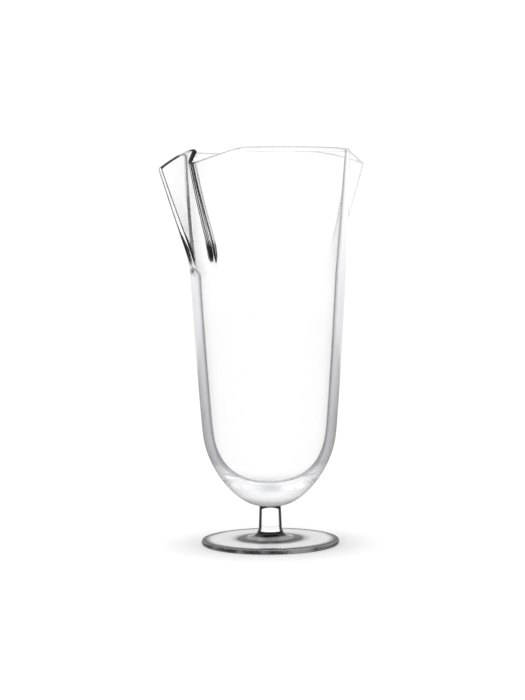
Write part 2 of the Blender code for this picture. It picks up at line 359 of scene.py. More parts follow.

# %% [markdown]
# ### How dark the folds are painted
#
# Along a tight fold real glass bends light far off to the side, so in front of a bright backdrop the fold
# line looks dark, and here that dark is painted shade. Each list gives a few heights, as shares of the fold
# from its foot to the rim, with the painted darkness or the width in metres there, and the helper reads
# between them.

# %% Painted shade along the folds
TIP_LINE = ((0.0, 0.0), (0.08, 0.0), (0.15, 2.2), (0.36, 2.2), (0.50, 1.1), (1.0, 1.0))
TIP_WIDTH = ((0.0, 0.0006), (0.10, 0.0018), (0.24, 0.0026), (0.42, 0.0010), (1.0, 0.0009))
SOFT_LINE = ((0.0, 0.0), (0.45, 0.0), (0.55, 0.4), (1.0, 0.4))
CREASE_LINE = ((0.0, 0.0), (0.08, 0.4), (0.20, 2.2), (0.55, 2.2), (0.75, 1.1), (1.0, 1.0))
CREASE_WIDTH = ((0.0, 0.0005), (0.20, 0.0011), (0.50, 0.0010), (0.70, 0.0006), (1.0, 0.0005))
PLEAT_LINE = ((0.0, 0.0), (0.115, 0.0), (0.14, 2.2), (0.26, 2.2), (0.31, 1.0), (1.0, 1.0))
PLEAT_WIDTH = ((0.0, 0.0005), (0.11, 0.0008), (0.17, 0.0026), (0.26, 0.0034), (1.0, 0.0042))
THIN_LINE = 0.0006
BROAD_LINE = 0.0010
NO_LINE = 0.0001


def along(levels, share):
    """Return the value at a share of the way up a fold, read between the listed ones."""
    for (low, low_value), (high, high_value) in zip(levels, levels[1:]):
        if share <= high:
            return between(low_value, high_value, (share - low) / (high - low))
    return levels[-1][1]


print("The pleat's foot has a darkness of", round(along(PLEAT_LINE, 0.12), 2))

# %% [markdown]
# ### The cross-section at one height
#
# At the foot of a fold all corners lie on the round wall, and towards the rim they move out to their own
# radii. The far side, with or without the pleat, and the near side with the tip are made first, and then put
# together.

# %% Corners at a height
# The rim and valley values here are painted shade, and NO_FOLD gives the painted-shade fields of a corner
# that is not folded.
ROUND_RIM_PAINTED_SHADE = 0.35
SPOUT_RIM_PAINTED_SHADE = 1.0
TIP_RIM_REACH = 0.0085
PLEAT_RIM_REACH = 0.0030
VALLEY_DARKNESS = 0.5
NO_FOLD = (0.0, NO_LINE, NO_LINE, ROUND_RIM_PAINTED_SHADE, 0.0)


def far_corners(share, spout, radius, wall, fold_wall):
    """Return the outer corners of a spout's far side."""
    if not spout.pleated:
        angle = between(*SOFT_ANGLES, share)
        return (Corner(radius, angle, wall, 0.0, SOFT_TURN, SOFT_TURN, LAPEL_STEPS, TIP_ARCH, *NO_FOLD),)
    pleat_share = max(0.0, share - PLEAT_FOOT) / (1 - PLEAT_FOOT)
    line = along(PLEAT_LINE, share)
    angle = between(*LAPEL_ANGLES, share)
    lapel = Corner(radius, angle, wall, 0.0, LAPEL_TURN, LAPEL_TURN, LAPEL_STEPS, STRAIGHT, *NO_FOLD)
    pleat = Corner(
        radius + (PLEAT_RADIUS - RIM_RADIUS) * pleat_share ** PLEAT_GROWTH, between(*PLEAT_ANGLES, share),
        fold_wall, PLEAT_DROP, PLEAT_TURN, WIDE_TURN, PLEAT_STEPS, STRAIGHT,
        line, along(PLEAT_WIDTH, share), BROAD_LINE, SPOUT_RIM_PAINTED_SHADE, PLEAT_RIM_REACH,
    )
    valley = Corner(
        radius + (VALLEY_RADIUS - RIM_RADIUS) * pleat_share, between(*VALLEY_ANGLES, share),
        fold_wall, 0.0, TIGHT_TURN, WIDE_TURN, CHEEK_STEPS, TIP_ARCH,
        VALLEY_DARKNESS * line, THIN_LINE, THIN_LINE, SPOUT_RIM_PAINTED_SHADE, 0.0,
    )
    return lapel, pleat, valley


def near_corners(share, spout, radius, wall, fold_wall):
    """Return the outer corners of a spout's tip and near side."""
    tip_line, crease_line, tip_rim = SOFT_LINE, SOFT_LINE, ROUND_RIM_PAINTED_SHADE
    if spout.pleated:
        tip_line, crease_line, tip_rim = TIP_LINE, CREASE_LINE, SPOUT_RIM_PAINTED_SHADE
    tip = Corner(
        radius + (spout.tip_radius - RIM_RADIUS) * share ** TIP_GROWTH, 0.0,
        between(wall, TIP_WALL, share), spout.tip_drop, WIDE_TURN, TIGHT_TURN, CHEEK_STEPS, STRAIGHT,
        along(tip_line, share), along(TIP_WIDTH, share), BROAD_LINE, tip_rim, TIP_RIM_REACH,
    )
    crease = Corner(
        radius, between(*CREASE_ANGLES, share), fold_wall, 0.0,
        TIGHT_TURN, WIDE_TURN, SIDE_STEPS, STRAIGHT,
        along(crease_line, share), along(CREASE_WIDTH, share), BROAD_LINE, ROUND_RIM_PAINTED_SHADE, 0.0,
    )
    return tip, crease


def outer_corners(share, spout):
    """Return all outer corners of a spout at a share of the way up the fold."""
    height = between(FOLD_LEVEL, RIM_LEVEL, share)
    radius = outer_radius(height)
    wall = wall_thickness(height)
    fold_wall = between(wall, FOLD_WALL, share)
    plain = Corner(radius, BLEND_ANGLE, wall, 0.0, 0.0, 0.0, SIDE_STEPS, STRAIGHT, *NO_FOLD)
    far_side = far_corners(share, spout, radius, wall, fold_wall)
    near_side = near_corners(share, spout, radius, wall, fold_wall)
    return (plain, *far_side, *near_side, plain._replace(angle=END_ANGLE))


print("Corners of the two spouts:", [len(outer_corners(1.0, spout)) for spout in SPOUTS])

# %% [markdown]
# ### The inside of a fold
#
# The sheet of glass keeps its thickness round a fold, so the inside corners are the outside ones moved in. On
# the round wall a corner moves straight towards the axis. Between flat facets it moves along the line that
# halves the corner's angle, a mitre, far enough to keep both facets equally thick.

# %% Inside corners
def inner_corners(corners, flatness):
    """Return the outer corners moved in by the wall's thickness."""
    points = [polar(corner.radius, corner.angle) for corner in corners]
    moved = []
    for index, corner in enumerate(corners):
        inward = -polar(corner.wall, corner.angle)
        if 0 < index < len(corners) - 1:
            before = (points[index - 1] - points[index]).normalized().orthogonal()
            after = (points[index] - points[index + 1]).normalized().orthogonal()
            mitre = (before + after) * (corner.wall / (1 + before.dot(after)))
            inward = inward.lerp(mitre, flatness)
        point = points[index] + inward
        angle = math.atan2(point.y, point.x)
        moved.append(corner._replace(radius=point.length, angle=angle, turn=corner.other_turn))
    return moved


print("Inside corners of the left spout:", len(inner_corners(outer_corners(1.0, SPOUTS[0]), 1.0)))

# %% [markdown]
# ### Facets and roundings
#
# Between two corners a facet starts as a piece of the round wall and becomes flat within the first two fifths
# of the fold. Each corner is rounded with a small curve, because no fold in molten glass is perfectly sharp.
# The section is a list of marks. A mark keeps its place with its drop, the painted shade of the fold, its
# reach, which is its distance from the fold line in widths of that line, the painted shade of the rim and how
# flat the glass is.

# %% A spout's section
MOST_TURN = 0.45
RIM_FADE = 0.0040
CORNER_STEPS = 8
# A mark's fold and rim values are painted shade.
Mark = namedtuple("Mark", "place fold reach crown flat")


def facet_point(start, end, share, flatness):
    """Return a point between two corners, with its rim's drop as its third number."""
    arc = polar(between(start.radius, end.radius, share), between(start.angle, end.angle, share))
    chord = polar(start.radius, start.angle).lerp(polar(end.radius, end.angle), share)
    drop = between(start.drop, end.drop, share ** start.arch)
    return Vector((*arc.lerp(chord, flatness), drop))


def rim_painted_shade_at(corner, distance):
    """Return the rim's painted shade at a distance from a corner."""
    return between(corner.crown, ROUND_RIM_PAINTED_SHADE, eased((distance - corner.rim_reach) / RIM_FADE))


def facet_marks(start, end, flatness, ends):
    """Return the marks along one facet. Ends tells whether each of its corners is folded."""
    length = (polar(end.radius, end.angle) - polar(start.radius, start.angle)).length
    first = min(start.turn / length, MOST_TURN)
    last = 1 - min(end.turn / length, MOST_TURN)
    marks = []
    for share in shares(start.steps):
        share = between(first, last, share)
        place = facet_point(start, end, share, flatness)
        fold = between(start.line, end.line, share)
        reach = min(share * length / start.after, (1 - share) * length / end.before)
        crown = max(rim_painted_shade_at(start, share * length), rim_painted_shade_at(end, (1 - share) * length))
        marks.append(Mark(place, fold, reach, crown, flatness * between(*ends, share)))
    return marks


def spout_section(corners, flatness):
    """Return the marks along one surface of a spout, with a rounding at each corner."""
    facets = []
    for start, end in zip(corners, corners[1:]):
        folded = (start is not corners[0], end is not corners[-1])
        facets.append(facet_marks(start, end, flatness, folded))
    marks = list(facets[0])
    for corner, facet in zip(corners[1:], facets[1:]):
        leave, arrive = marks[-1], facet[0]
        peak = Vector((*polar(corner.radius, corner.angle), corner.drop))
        for share in shares(CORNER_STEPS)[1:-1]:
            reach = max(leave.reach * (1 - 2 * share), arrive.reach * (2 * share - 1))
            place = quadratic(leave.place, peak, arrive.place, share)
            marks.append(Mark(place, corner.line, reach, corner.crown, flatness))
        marks.extend(facet)
    return marks


print("Points across the left spout:", len(spout_section(outer_corners(1.0, SPOUTS[0]), 1.0)))

# %% [markdown]
# ### Rings round the folded top
#
# Between the spouts the wall stays round. A ring runs round both spouts and both round stretches, and its
# points are let down by their drop, more so towards the rim. On the round stretches nothing is folded, so the
# marks there have no painted fold shade, only the rim's light painted shade, and an endless reach.

# %% Rings of the folded top
ARC_STEP = math.radians(2.5)
FLAT_SHARE = 0.4
CROWN_HEIGHT = RIM_WALL / 2
FOLD_STEPS = 44


def fold_ring(share, inside):
    """Return the ring of marks round one surface at a share of the way up the folds."""
    height = between(FOLD_LEVEL, RIM_LEVEL, share)
    radius = inner_radius(height) if inside else outer_radius(height)
    flatness = eased(share / FLAT_SHARE)
    ring = []
    for index, spout in enumerate(SPOUTS):
        corners = outer_corners(share, spout)
        if inside:
            corners = inner_corners(corners, flatness)
        turn = Matrix.Rotation(spout.direction, 3, "Z")
        section = spout_section(corners, flatness)
        ring.extend(mark._replace(place=turn @ mark.place) for mark in section)
        start = spout.direction + END_ANGLE
        end = SPOUTS[(index + 1) % len(SPOUTS)].direction + BLEND_ANGLE
        span = (start - end) % (2 * math.pi)
        for part in shares(round(span / ARC_STEP))[1:-1]:
            place = Vector((*polar(radius, start - span * part), 0.0))
            ring.append(Mark(place, 0.0, math.inf, ROUND_RIM_PAINTED_SHADE, 0.0))
    for mark in ring:
        mark.place.z = between(FOLD_LEVEL, RIM_LEVEL - CROWN_HEIGHT - mark.place.z, share)
    return ring


print("Points round the rim:", len(fold_ring(1.0, False)))

# %% [markdown]
# ## Lofting the bowl
#
# The bowl is one skin: up the outside, over the rounded rim and down the inside to the middle of its floor.
# The rim's crown is a half circle between the two surfaces, as a fire-polished edge is, and it carries the
# rim's painted shade. Four layers of values go with the points: the fold layer is the painted darkness of the
# fold lines and of the rim, `reach` the distance from them, `lining` is 1 on the inside, and `skim` is the
# slant beyond which the eye looks along the wall and not through it, where the painted edge shade starts.

# %% Rings of the bowl
CROWN_STEPS = 8
FLAT_SKIM = 0.90
LINE_LEAD = 0.055
INSIDE_SKIM = 0.38
LEAST_SKIM = 0.27
FLOOR_LIFT = 0.0047
FLOOR_FADE = 0.0030


def outline_at(outline, height):
    """Return an outline's radius at a height and how upright it is there, from 0 to 1."""
    for low, high in zip(outline, outline[1:]):
        if height <= high.y:
            break
    step = high - low
    return between(low.x, high.x, (height - low.y) / step.y), step.y / step.length


def lifted(point):
    """Return a point of the inner outline where it seems to be through the thick bottom."""
    share = max(0.0, SHOULDER_LEVEL - point.y) / (SHOULDER_LEVEL - FLOOR_LEVEL)
    return Vector((point.x, point.y + FLOOR_LIFT * share))


seen_outline = [lifted(point) for point in inner_outline]


def skim_at(height):
    """Return the slant beyond which the eye looks along the round wall, from 0 face-on to 1 edge-on."""
    if height > FOLD_LEVEL:
        return 1 - math.sqrt(1 - (inner_radius(height) / outer_radius(height)) ** 2) - LINE_LEAD
    outside, upright = outline_at(outer_outline, height)
    seen_floor = seen_outline[0].y
    if height < seen_floor:
        return between(1 - upright, LEAST_SKIM, min((seen_floor - height) / FLOOR_FADE, 1.0))
    inside, _ = outline_at(seen_outline, height)
    return 1 - upright * math.sqrt(1 - (inside / outside) ** 2) - LINE_LEAD


def surface_rings(inside):
    """Return one surface's rings from the bottom to the rim, as marks."""
    outline = inner_outline[1:] if inside else outer_outline
    angles = [math.atan2(mark.place.y, mark.place.x) for mark in fold_ring(0.0, inside)]
    rings = []
    for radius, height in outline:
        places = round_ring(radius, height, angles)
        rings.append([Mark(place, 0.0, math.inf, 0.0, 0.0) for place in places])
    return rings + [fold_ring(share, inside) for share in shares(FOLD_STEPS)[1:]]


def rim_rings(outside, inside):
    """Return the rings of the rounded rim between the two surfaces."""
    rings = []
    for share in shares(CROWN_STEPS)[1:-1]:
        turn = math.pi * share
        lift = Vector((0.0, 0.0, CROWN_HEIGHT * math.sin(turn)))
        inward = (1 - math.cos(turn)) / 2
        ring = []
        for outer, inner in zip(outside, inside):
            place = outer.place.lerp(inner.place, inward) + lift
            # The crown gets the rim's painted shade, also as its painted fold shade.
            ring.append(Mark(place, outer.crown, 0.0, outer.crown, outer.flat))
        rings.append(ring)
    return rings


outside_rings = surface_rings(False)
inside_rings = surface_rings(True)
crown_rings = rim_rings(outside_rings[-1], inside_rings[-1])
ring_counts = [len(rings) for rings in (outside_rings, crown_rings, inside_rings)]
print("Rings outside, on the rim and inside:", ring_counts)

# %% The bowl's mesh
FAR_REACH = 10.0
bowl_rings = outside_rings + crown_rings + inside_rings[::-1]
lining_rings = [lining for lining, count in zip((0.0, 0.5, 1.0), ring_counts) for _ in range(count)]
# The fold layer carries the painted shade of the folds and of the rim.
bowl_layers = {"fold": [], "reach": [], "lining": [], "skim": []}
for ring, lining in zip(bowl_rings, lining_rings):
    bowl_layers["fold"].append([mark.fold for mark in ring])
    bowl_layers["reach"].append([min(mark.reach, FAR_REACH) for mark in ring])
    bowl_layers["lining"].append([lining] * len(ring))
    skims = [INSIDE_SKIM if lining == 1.0 else skim_at(mark.place.z) for mark in ring]
    skims = [between(skim, FLAT_SKIM, mark.flat) for skim, mark in zip(skims, ring)]
    bowl_layers["skim"].append(skims)
bowl_points = [[mark.place for mark in ring] for ring in bowl_rings]
bowl_mesh = skinned_mesh("bowl_body", bowl_points, (BOWL_BASE, FLOOR_LEVEL), bowl_layers)
print("Bowl of", len(bowl_mesh.polygons), "faces")

# %% [markdown]
# ## Placing the pieces
#
# Each piece stands for a CAD node, which is hidden but stays for the physics. All of them ride on the one
# body of this model, because nothing on the glass moves.

# %% Pieces on the frame
glass_pieces = {}
for node, mesh in (("foot", foot_mesh), ("stem", stem_mesh), ("bowl", bowl_mesh)):
    piece = new_object(mesh.name, mesh)
    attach(piece, "root")
    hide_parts(node)
    glass_pieces[node] = piece
print("Pieces:", [piece.name for piece in glass_pieces.values()])

# %% [markdown]
# ## Nodes by script
#
# A material is a tree of nodes, and a script builds it node by node. These helpers add nodes, feed their
# inputs with plain values or links, and hand back an output, so that a material reads like a small formula.

# %% Helpers for nodes
WHITE = (1.0, 1.0, 1.0, 1.0)
BLACK = (0.0, 0.0, 0.0, 1.0)
COLORS = ("Color", "Line Shade", "Near Shade", "Edge Shade")


def feed(tree, socket, value):
    """Link an output to a socket, or set the socket to a plain value."""
    if isinstance(value, bpy.types.NodeSocket):
        tree.links.new(value, socket)
    else:
        socket.default_value = value


def add_node(tree, kind, group=None, **inputs):
    """Add a node, or a node of a shared group, and feed its named inputs."""
    node = tree.nodes.new(kind)
    if group is not None:
        node.node_tree = group
    for name, value in inputs.items():
        feed(tree, node.inputs[name.replace("_", " ")], value)
    return node


def add_math(tree, operation, first, *others):
    """Add a Math node for each further value and return the last output."""
    for other in others:
        node = tree.nodes.new("ShaderNodeMath")
        node.operation = operation
        feed(tree, node.inputs[0], first)
        feed(tree, node.inputs[1], other)
        first = node.outputs["Value"]
    return first


def add_mix(tree, share, first, second, blend="MIX"):
    """Add a colour Mix node and return its output."""
    node = tree.nodes.new("ShaderNodeMix")
    node.data_type = "RGBA"
    node.blend_type = blend
    for index, value in ((0, share), (6, first), (7, second)):
        feed(tree, node.inputs[index], value)
    return node.outputs[2]


def add_ramp(tree, value, start, end, low=0.0, high=1.0, smooth=False):
    """Return a value mapped from start and end to low and high."""
    node = add_node(
        tree, "ShaderNodeMapRange",
        Value=value, From_Min=start, From_Max=end, To_Min=low, To_Max=high,
    )
    node.interpolation_type = "SMOOTHSTEP" if smooth else "LINEAR"
    return node.outputs["Result"]


def new_group(name, inputs, outputs):
    """Return a new shader node group, its given values and its result sockets."""
    group = bpy.data.node_groups.new(name, "ShaderNodeTree")
    for side, labels in (("INPUT", inputs), ("OUTPUT", outputs)):
        for label in labels:
            kind = "NodeSocketColor" if label in COLORS else "NodeSocketFloat"
            group.interface.new_socket(label, in_out=side, socket_type=kind)
    given = group.nodes.new("NodeGroupInput").outputs
    return group, given, group.nodes.new("NodeGroupOutput").inputs


print("Helpers for nodes and groups are ready")

# %% [markdown]
# ## Clear glass
#
# Clear glass is a Principled BSDF that lets all light through and bends it with an index of refraction of
# 1.5. In front of white it would vanish but for its edges: where the eye looks along the wall and not through
# it, real glass looks grey, and here that grey is painted shade in the Base Color. The Layer Weight node
# tells how slanted the surface is to the eye, and a shared group turns that into painted shade: a line at a
# given slant and two shades beyond it.

# %% The painted edge shade group
painted_edge_shade, given, result = new_group(
    "painted_edge_shade",
    ("Slant", "Start", "Softness", "Line Width", "Falloff", "Line Shade", "Near Shade", "Edge Shade"),
    ("Color",),
)
beyond = add_math(painted_edge_shade, "SUBTRACT", given["Slant"], given["Start"])
room = add_math(painted_edge_shade, "SUBTRACT", 1.0, given["Start"])
depth = add_math(painted_edge_shade, "MAXIMUM", add_math(painted_edge_shade, "DIVIDE", beyond, room), 0.0)
bent_depth = add_math(painted_edge_shade, "POWER", depth, given["Falloff"])
shade = add_mix(painted_edge_shade, bent_depth, given["Near Shade"], given["Edge Shade"])
past_line = add_ramp(painted_edge_shade, beyond, 0.0, given["Line Width"], smooth=True)
shade = add_mix(painted_edge_shade, past_line, given["Line Shade"], shade)
entry = add_ramp(painted_edge_shade, beyond, 0.0, given["Softness"], smooth=True)
painted_edge_shade.links.new(add_mix(painted_edge_shade, entry, WHITE, shade), result["Color"])
print("Group painted_edge_shade of", len(painted_edge_shade.nodes), "nodes")

# %% [markdown]
# ## Traces of hand work
#
# Blown glass is never quite even. Its surface swells and dips by hundredths of a millimetre, and the polish
# of the flame varies a little. One group makes both from a soft noise in the object's own coordinates: a
# height for a Bump node, and a roughness that stays close to zero.

# %% The hand-blown group
FILM_SCALE = 60.0

hand_blown, given, result = new_group("hand_blown", ("Size", "Roughest"), ("Height", "Roughness"))
place = hand_blown.nodes.new("ShaderNodeTexCoord").outputs["Object"]
swell = add_node(hand_blown, "ShaderNodeTexNoise", Vector=place, Scale=given["Size"], Detail=1.0)
film = add_node(hand_blown, "ShaderNodeTexNoise", Vector=place, Scale=FILM_SCALE, Detail=3.0)
hand_blown.links.new(swell.outputs["Fac"], result["Height"])
polish = add_math(hand_blown, "MULTIPLY", film.outputs["Fac"], given["Roughest"])
hand_blown.links.new(polish, result["Roughness"])
print("Group hand_blown of", len(hand_blown.nodes), "nodes")

# %% [markdown]
# ## Painted shade for light mirrored between two faces
#
# Deep in a fold one face of the glass mirrors another. In a studio there is little light to mirror there, so
# the fold looks dark, and here that dark is painted shade. The Light Path node tells whether a ray was
# mirrored and how many turns it took, and Backfacing tells whether it meets the glass from inside. A shared
# group paints a dark shade into the colour of glass that is mirrored through air, early on the way.

# %% The painted mirror shade group
# The dark painted shade of glass seen mirrored in another face.
MIRRORED_PAINTED_SHADE = (0.10, 0.10, 0.11, 1.0)
MIRROR_TURNS = 3.5

painted_mirror_shade, given, result = new_group(
    "painted_mirror_shade", ("Color", "Mirrored", "Backfacing", "Turns"), ("Color",)
)
from_air = add_math(painted_mirror_shade, "SUBTRACT", 1.0, given["Backfacing"])
early = add_math(painted_mirror_shade, "LESS_THAN", given["Turns"], MIRROR_TURNS)
share = add_math(painted_mirror_shade, "MULTIPLY", given["Mirrored"], from_air, early)
dimmed = add_mix(painted_mirror_shade, share, given["Color"], MIRRORED_PAINTED_SHADE)
painted_mirror_shade.links.new(dimmed, result["Color"])
print("Group painted_mirror_shade of", len(painted_mirror_shade.nodes), "nodes")

# %% [markdown]
# ## One recipe for the three glasses
#
# The bowl, the stem and the foot share the same shader, with their own colours. A helper makes the shader
# with its bump and polish, and each piece then adds the painted shade that feeds its Base Color. The shader
# takes the square root of that colour at each surface, so the painted shades are squares of how much light
# should pass.

# %% The shared recipe
GLASS_IOR = 1.5
ROUGHEST = 0.02
SWELL_HEIGHT = 0.00001


def new_material(name):
    """Return a new material, its node tree and its shader."""
    material = bpy.data.materials.new(name)
    material.use_nodes = True
    return material, material.node_tree, material.node_tree.nodes["Principled BSDF"]


def glass_material(name, size):
    """Return a clear glass material, its node tree and its shader."""
    material, tree, shader = new_material(name)
    shader.inputs["IOR"].default_value = GLASS_IOR
    shader.inputs["Transmission Weight"].default_value = 1.0
    traces = add_node(tree, "ShaderNodeGroup", hand_blown, Size=size, Roughest=ROUGHEST).outputs
    tree.links.new(traces["Roughness"], shader.inputs["Roughness"])
    bump = add_node(tree, "ShaderNodeBump", Height=traces["Height"], Strength=1.0, Distance=SWELL_HEIGHT)
    tree.links.new(bump.outputs["Normal"], shader.inputs["Normal"])
    return material, tree, shader


def add_slant(tree):
    """Return how slanted the surface is to the eye, from 0 face-on to 1 edge-on."""
    return add_node(tree, "ShaderNodeLayerWeight", Blend=0.5).outputs["Facing"]


def add_place(tree):
    """Return a point of the surface in the object's own coordinates, and its height."""
    place = tree.nodes.new("ShaderNodeTexCoord").outputs["Object"]
    return place, add_node(tree, "ShaderNodeSeparateXYZ", Vector=place).outputs["Z"]


def squared(passed):
    """Return the colour that lets this much light pass one surface."""
    return (*(value * value for value in passed), 1.0)


def add_painted_edge_shade(tree, slant, start, shades, softness, line_width=1.0, falloff=1.0):
    """Return the painted shade colour of the edge shade group. The three shades tell how much light passes.
    """
    line, near, edge = (squared(passed) for passed in shades)
    node = add_node(
        tree, "ShaderNodeGroup", painted_edge_shade,
        Slant=slant, Start=start, Softness=softness, Line_Width=line_width, Falloff=falloff,
        Line_Shade=line, Near_Shade=near, Edge_Shade=edge,
    )
    return node.outputs["Color"]


def add_path(tree):
    """Return the values that tell how a ray came to the surface."""
    return tree.nodes.new("ShaderNodeLightPath").outputs


def add_mirrored(tree, path):
    """Return 1 for light that is mirrored, and 0 or less for all other light."""
    return add_math(tree, "SUBTRACT", path["Is Glossy Ray"], path["Is Transmission Ray"])


def link_color(tree, shader, color, path):
    """Give a colour to the glass, with painted shade for light that another face of the glass mirrored."""
    node = add_node(
        tree, "ShaderNodeGroup", painted_mirror_shade,
        Color=color, Mirrored=add_mirrored(tree, path), Turns=path["Ray Depth"],
        Backfacing=tree.nodes.new("ShaderNodeNewGeometry").outputs["Backfacing"],
    )
    tree.links.new(node.outputs["Color"], shader.inputs["Base Color"])


weld_glass, _, shader = new_material("weld_glass")
shader.inputs["Alpha"].default_value = 0.0
print("Made", weld_glass.name, "for the welded faces")

# %% [markdown]
# ## The bowl's glass
#
# Outside, the painted shade starts where the eye looks into the wall lengthways, so the wall shows a painted
# soft grey band on each side, darker low down, where the wall is thick. Each row has a height, a falloff and
# three painted shades, and the colour goes over from row to row on the way up. Inside, a narrower painted
# shade draws the line of the inner wall.

# %% Material of the bowl: the wall
WALL_SOFTNESS = 0.03
WALL_LINE_WIDTH = 0.14
BOTTOM_SHADES = ((0.55, 0.55, 0.57), (0.98, 0.98, 0.99), (0.15, 0.15, 0.17))
LOW_SHADES = ((0.27, 0.27, 0.29), (0.59, 0.58, 0.61), (0.03, 0.03, 0.04))
# Each row is a height, a falloff and three painted shades: at the line, beside it and at the edge.
WALL_SHADES = (
    (0.0256, 0.45, (0.25, 0.25, 0.27), (0.98, 0.98, 0.99), (0.0, 0.0, 0.0)),
    (0.0295, 1.5, *BOTTOM_SHADES),
    (0.0400, 1.5, *BOTTOM_SHADES),
    (0.0490, 1.0, *LOW_SHADES),
    (0.0750, 1.0, *LOW_SHADES),
    (0.1450, 1.0, (0.06, 0.06, 0.08), (0.82, 0.82, 0.84), (0.64, 0.64, 0.66)),
    (0.1850, 1.0, (0.04, 0.04, 0.06), (0.95, 0.95, 0.96), (0.92, 0.92, 0.93)),
    (0.2200, 1.0, (0.15, 0.15, 0.17), (0.97, 0.97, 0.98), (0.95, 0.95, 0.96)),
)
INSIDE_SHADES = ((1.0, 1.0, 1.0), (1.0, 1.0, 1.0), (0.14, 0.14, 0.15))
INSIDE_SOFTNESS = 0.05
INSIDE_FALLOFF = 2.4


def add_value(tree, name):
    """Return the value of a layer of the mesh."""
    node = tree.nodes.new("ShaderNodeAttribute")
    node.attribute_name = name
    return node.outputs["Fac"]


bowl_glass, tree, shader = glass_material("bowl_glass", size=28.0)
slant = add_slant(tree)
_, height = add_place(tree)
skim = add_value(tree, "skim")
row_colors = [
    add_painted_edge_shade(tree, slant, skim, shades, WALL_SOFTNESS, WALL_LINE_WIDTH, falloff)
    for _, falloff, *shades in WALL_SHADES
]
levels = [row[0] for row in WALL_SHADES]
outside_color = row_colors[0]
for lower, upper, row_color in zip(levels, levels[1:], row_colors[1:]):
    outside_color = add_mix(tree, add_ramp(tree, height, lower, upper), outside_color, row_color)
inside_color = add_painted_edge_shade(
    tree, slant, skim, INSIDE_SHADES, INSIDE_SOFTNESS, INSIDE_SOFTNESS, INSIDE_FALLOFF
)
wall_color = add_mix(tree, add_value(tree, "lining"), outside_color, inside_color)
print("Wall of", len(WALL_SHADES), "rows of shades")

# %% [markdown]
# The folds get painted shade from their fold layer, up to one width away from the fold line. A cosine of the
# distance breaks the painted dark up into fine stripes, like the streaks that bent glass shows. On a slanted
# face the distance looks squeezed, so it is multiplied by how squarely the face is seen, and the line looks
# about as broad everywhere. After a few turns of the light the painted fold shade no longer counts.

# %% Material of the bowl: the painted fold shade
LEAST_SQUEEZE = 0.12
STRIPES = 15.0
STRIPE_LIGHT, STRIPE_DARK = 0.45, 1.6
FADE_START = 0.7
FOLD_TURNS = 4.5

squeeze = add_math(tree, "MAXIMUM", add_math(tree, "SUBTRACT", 1.0, slant), LEAST_SQUEEZE)
reach = add_math(tree, "MULTIPLY", add_value(tree, "reach"), squeeze)
stripes = add_math(tree, "COSINE", add_math(tree, "MULTIPLY", reach, STRIPES), 0.0)
streak = add_ramp(tree, stripes, -1.0, 1.0, STRIPE_LIGHT, STRIPE_DARK)
near = add_ramp(tree, reach, FADE_START, 1.0, 1.0, 0.0)
fold = add_math(tree, "MULTIPLY", add_value(tree, "fold"), streak, near)
path = add_path(tree)
early = add_math(tree, "LESS_THAN", path["Ray Depth"], FOLD_TURNS)
fold = add_math(tree, "MULTIPLY", add_math(tree, "MINIMUM", fold, 1.0), early)
# Painted fold shade: white where there is none and black at its full strength.
painted_fold_color = add_mix(tree, fold, WHITE, BLACK)
link_color(tree, shader, add_mix(tree, 1.0, wall_color, painted_fold_color, "MULTIPLY"), path)
print("Material bowl_glass of", len(tree.nodes), "nodes")

# %% [markdown]
# ## The stem's glass
#
# A solid rod of glass works as a strong lens: its middle shows the bright backdrop and its two sides turn
# nearly black. Here that black is painted shade, which starts at a small slant and ends black, and right
# under the bowl it starts at once, so the rod's upper end is painted dark all across. Only what the camera
# sees straight gets the painted shade, or else the rod would darken the glass round it.

# %% Material of the stem
STEM_DARK_LEVELS = (0.0206, 0.0220)
STEM_STARTS = (0.27, -0.14)
STEM_SOFTNESS = 0.14
STEM_PAINTED_SHADES = ((0.0, 0.0, 0.0),) * 3

stem_glass, tree, shader = glass_material("stem_glass", size=60.0)
_, height = add_place(tree)
start = add_ramp(tree, height, *STEM_DARK_LEVELS, *STEM_STARTS)
painted_stem_shade = add_painted_edge_shade(tree, add_slant(tree), start, STEM_PAINTED_SHADES, STEM_SOFTNESS)
path = add_path(tree)
link_color(tree, shader, add_mix(tree, path["Is Camera Ray"], WHITE, painted_stem_shade), path)
print("Material stem_glass of", len(tree.nodes), "nodes")

# %% [markdown]
# ## The foot's glass
#
# The foot is seen nearly edge-on. Its flat ring stays light, its rounded edge gets painted shade, and so does
# the flare round the stem, as painted shadow where the thick middle gathers the shadow under it. These rings
# lie at fixed distances from the axis, so a ramp over that distance paints them, a little uneven through a
# noise. Each pair is a share of the foot's radius and how much light passes there.

# %% Material of the foot: the painted shade rings
FOOT_PAINTED_SHADE_RINGS = (
    (0.0, 0.0), (0.23, 0.0), (0.26, 0.25), (0.31, 0.30), (0.36, 0.02), (0.48, 0.03), (0.60, 0.90),
    (0.78, 0.99), (0.85, 0.93), (0.90, 0.45), (0.935, 0.05), (1.0, 0.0),
)
RING_WANDER = 0.03
WANDER_SCALE = 90.0
UPPER_FACE = (0.0020, 0.0028)


def add_length(tree, vector):
    """Return the length of a vector."""
    node = add_node(tree, "ShaderNodeVectorMath", Vector=vector)
    node.operation = "LENGTH"
    return node.outputs["Value"]


foot_glass, tree, shader = glass_material("foot_glass", size=40.0)
place, height = add_place(tree)
flat_place = add_node(tree, "ShaderNodeVectorMath", Vector=place)
flat_place.operation = "MULTIPLY"
flat_place.inputs[1].default_value = (1.0, 1.0, 0.0)
across = add_math(tree, "DIVIDE", add_length(tree, flat_place.outputs["Vector"]), FOOT_RADIUS)
wander = add_node(tree, "ShaderNodeTexNoise", Vector=place, Scale=WANDER_SCALE, Detail=2.0)
uneven = add_ramp(tree, wander.outputs["Fac"], 0.0, 1.0, -RING_WANDER, RING_WANDER)
